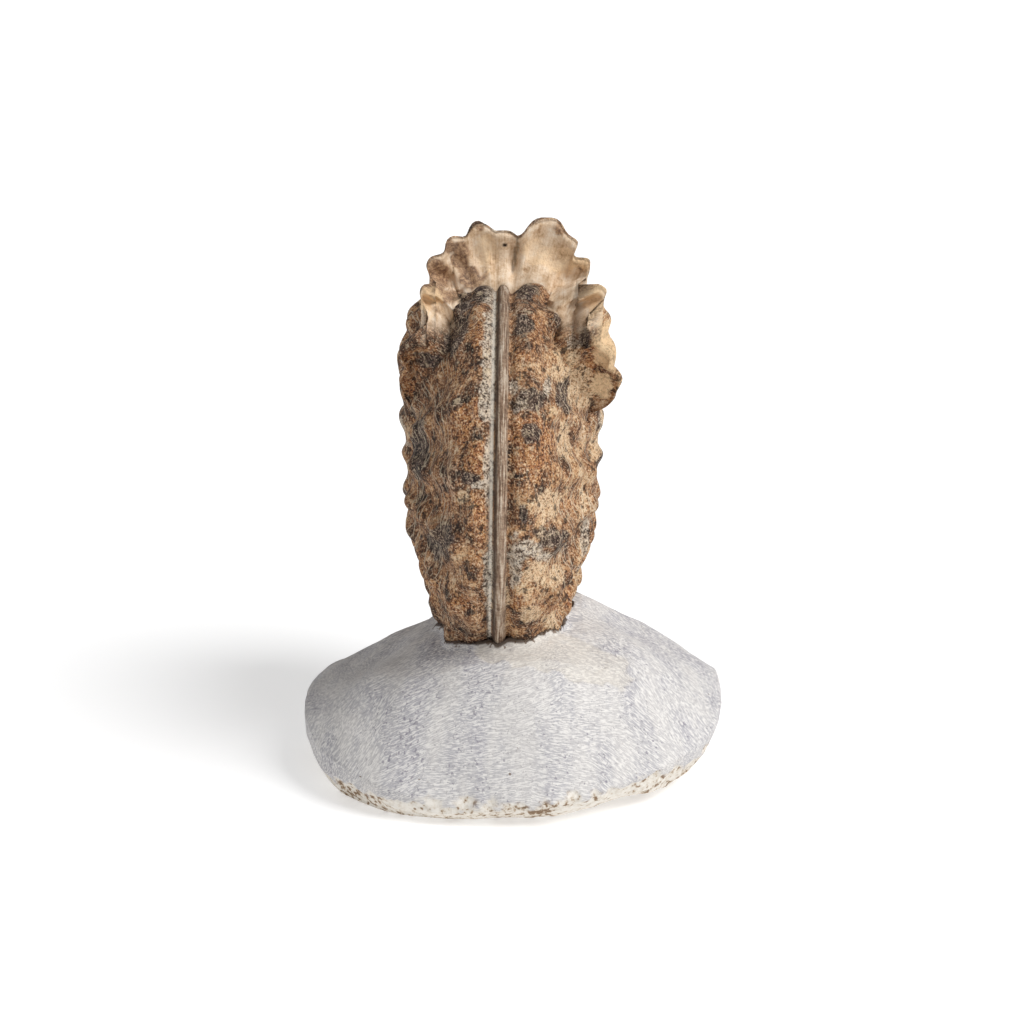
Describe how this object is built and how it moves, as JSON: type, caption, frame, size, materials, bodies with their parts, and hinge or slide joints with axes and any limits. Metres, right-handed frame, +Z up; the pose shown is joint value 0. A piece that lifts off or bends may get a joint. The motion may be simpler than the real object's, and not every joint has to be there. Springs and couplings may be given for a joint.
{
  "type": "ammonite fossil",
  "caption": "Ribbed, keeled ammonite standing on edge in its block of pale limestone matrix, a display specimen that rests on a flat underside.",
  "frame": {"origin": "middle of the bounding box in X and Y, on the surface that the block stands on", "axes": "+Z up, the keel of the front whorl faces -Y, and the coil's axis lies along X"},
  "size_m": [0.0974, 0.1044, 0.1246],
  "materials": {
    "fossil_stone": "rough mineral replacement of the shell, mottled brown, orange and cream with dark specks",
    "limestone_matrix": "pale grey-white limestone, matt, covered in fine chisel scratches, with a rough unworked lower rim"
  },
  "bodies": {
    "root": {"ammonite": "fossil_stone", "matrix_base": "limestone_matrix"}
  },
  "joints": []
}
